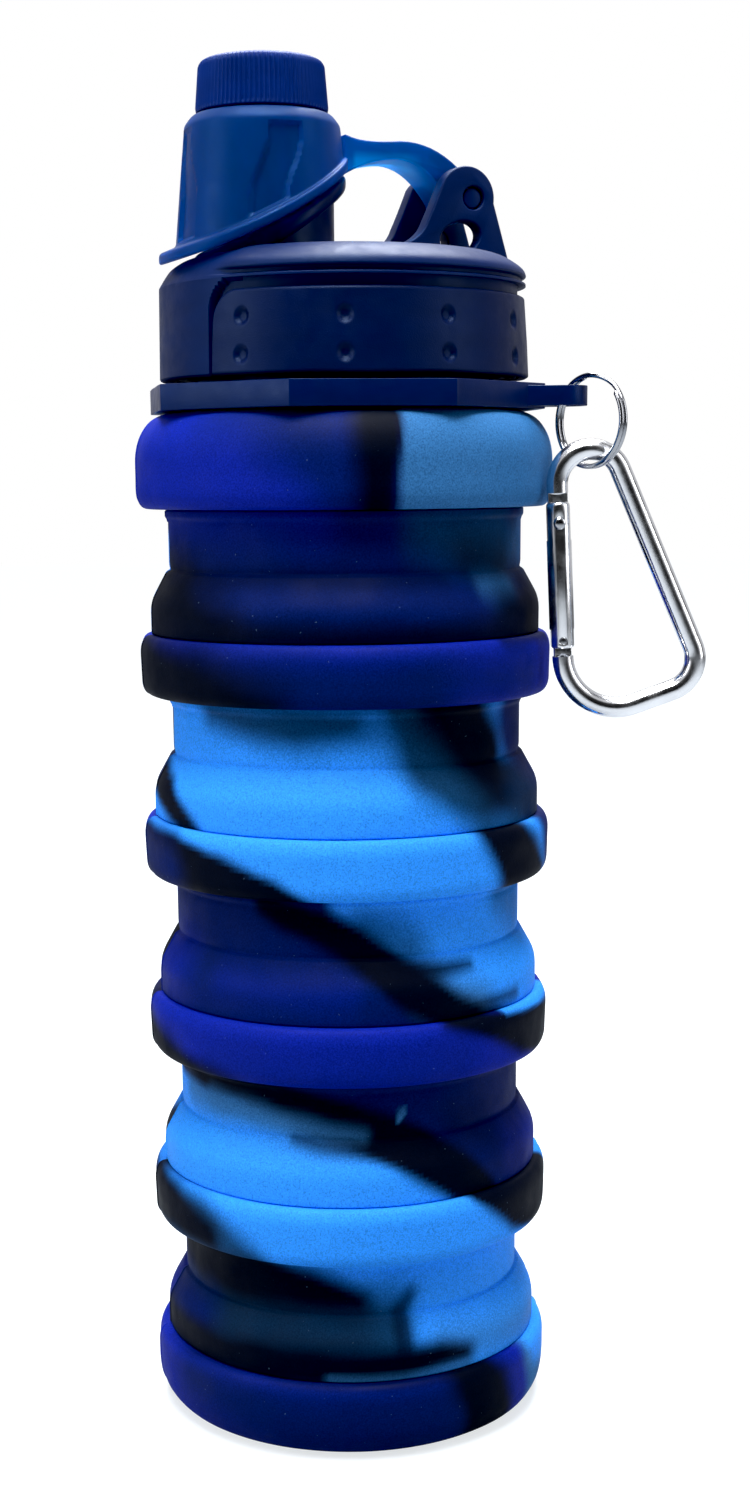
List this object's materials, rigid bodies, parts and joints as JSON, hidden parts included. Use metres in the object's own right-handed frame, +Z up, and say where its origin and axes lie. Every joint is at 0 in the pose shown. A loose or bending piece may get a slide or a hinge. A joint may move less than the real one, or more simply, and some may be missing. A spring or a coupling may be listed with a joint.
{
  "type": "folding water bottle",
  "caption": "Folding silicone water bottle with a ringed body, a screw-on lid, a flip-over spout cover and a hanging carabiner.",
  "frame": {"origin": "middle of the base's underside", "axes": "+Z up along the bottle's axis, +X from the spout towards the lid's hinge, +Y along the hinge pin"},
  "size_m": [0.0876, 0.073, 0.2354],
  "materials": {
    "silicone_royal": "matte",
    "silicone_sky": "matte",
    "silicone_ink": "matte",
    "lid_plastic": "satin",
    "cover_plastic": "translucent",
    "seal_rubber": "matte",
    "steel": "polished",
    "aluminium": "polished"
  },
  "bodies": {
    "base": {"silicone_base": "silicone_royal", "fold_wall_1": "silicone_ink"},
    "ring_1": {"silicone_ring_1": "silicone_sky", "fold_wall_2": "silicone_sky"},
    "ring_2": {"silicone_ring_2": "silicone_royal", "fold_wall_3": "silicone_royal"},
    "ring_3": {"silicone_ring_3": "silicone_sky", "fold_wall_4": "silicone_sky"},
    "ring_4": {"silicone_ring_4": "silicone_royal", "fold_wall_5": "silicone_royal"},
    "collar": {"silicone_collar": "silicone_royal", "neck_ring": "lid_plastic"},
    "gasket": {"lid_seal": "seal_rubber"},
    "lid": {"lid_shell": "lid_plastic", "lid_core": "lid_plastic", "grip_band": "lid_plastic", "hinge_pin": "lid_plastic"},
    "cover": {"spout_cover": "cover_plastic"},
    "knob": {"cap_knob": "lid_plastic", "cap_seal": "seal_rubber"},
    "key_ring": {"split_ring": "steel"},
    "carabiner": {"carabiner_frame": "aluminium", "gate_rivet": "steel"},
    "gate": {"carabiner_gate": "aluminium", "gate_catch_pin": "steel", "gate_plunger": "steel", "gate_spring": "steel"}
  },
  "joints": [
    {"name": "fold_1", "type": "slide", "parent": "base", "child": "ring_1", "axis": [0, 0, -1], "range_m": [0, 0.0206], "deforming": ["fold_wall_1"]},
    {"name": "fold_2", "type": "slide", "parent": "ring_1", "child": "ring_2", "axis": [0, 0, -1], "range_m": [0, 0.0206], "deforming": ["fold_wall_2"]},
    {"name": "fold_3", "type": "slide", "parent": "ring_2", "child": "ring_3", "axis": [0, 0, -1], "range_m": [0, 0.0206], "deforming": ["fold_wall_3"]},
    {"name": "fold_4", "type": "slide", "parent": "ring_3", "child": "ring_4", "axis": [0, 0, -1], "range_m": [0, 0.0206], "deforming": ["fold_wall_4"]},
    {"name": "fold_5", "type": "slide", "parent": "ring_4", "child": "collar", "axis": [0, 0, -1], "range_m": [0, 0.0206], "deforming": ["fold_wall_5"]},
    {"name": "lid_lift", "type": "slide", "parent": "collar", "child": "gasket", "axis": [0, 0, 1], "range_m": [0, 0.008]},
    {"name": "lid_turn", "type": "hinge", "parent": "gasket", "child": "lid", "pos_m": [0, 0, 0.184], "axis": [0, 0, 1], "range_deg": [0, 720]},
    {"name": "cover_flip", "type": "hinge", "parent": "lid", "child": "cover", "pos_m": [0.0208, 0, 0.214], "axis": [0, 1, 0], "range_deg": [0, 150]},
    {"name": "knob_turn", "type": "hinge", "parent": "cover", "child": "knob", "pos_m": [-0.0141, 0, 0.2275], "axis": [0, 0, 1], "range_deg": [0, 360]},
    {"name": "ring_swing", "type": "hinge", "parent": "collar", "child": "key_ring", "pos_m": [0.03115, -0.02263, 0.1809], "axis": [0.2924, -0.9563, 0], "range_deg": [0, 18]},
    {"name": "carabiner_swing", "type": "hinge", "parent": "key_ring", "child": "carabiner", "pos_m": [0.03293, -0.02846, 0.1666], "axis": [-0.3746, -0.9272, 0], "range_deg": [0, 60]},
    {"name": "gate_open", "type": "hinge", "parent": "carabiner", "child": "gate", "pos_m": [0.0281, -0.02651, 0.16006], "axis": [-0.3746, -0.9272, 0], "range_deg": [0, 28], "stiffness_Nm_per_rad": 0.0005, "springref_deg": -28.65}
  ],
  "couplings": [
    {"joint": "fold_2", "follows": "fold_1", "ratio": 1},
    {"joint": "fold_3", "follows": "fold_1", "ratio": 1},
    {"joint": "fold_4", "follows": "fold_1", "ratio": 1},
    {"joint": "fold_5", "follows": "fold_1", "ratio": 1},
    {"joint": "lid_turn", "follows": "lid_lift", "rad_per_m": 1570.8}
  ]
}
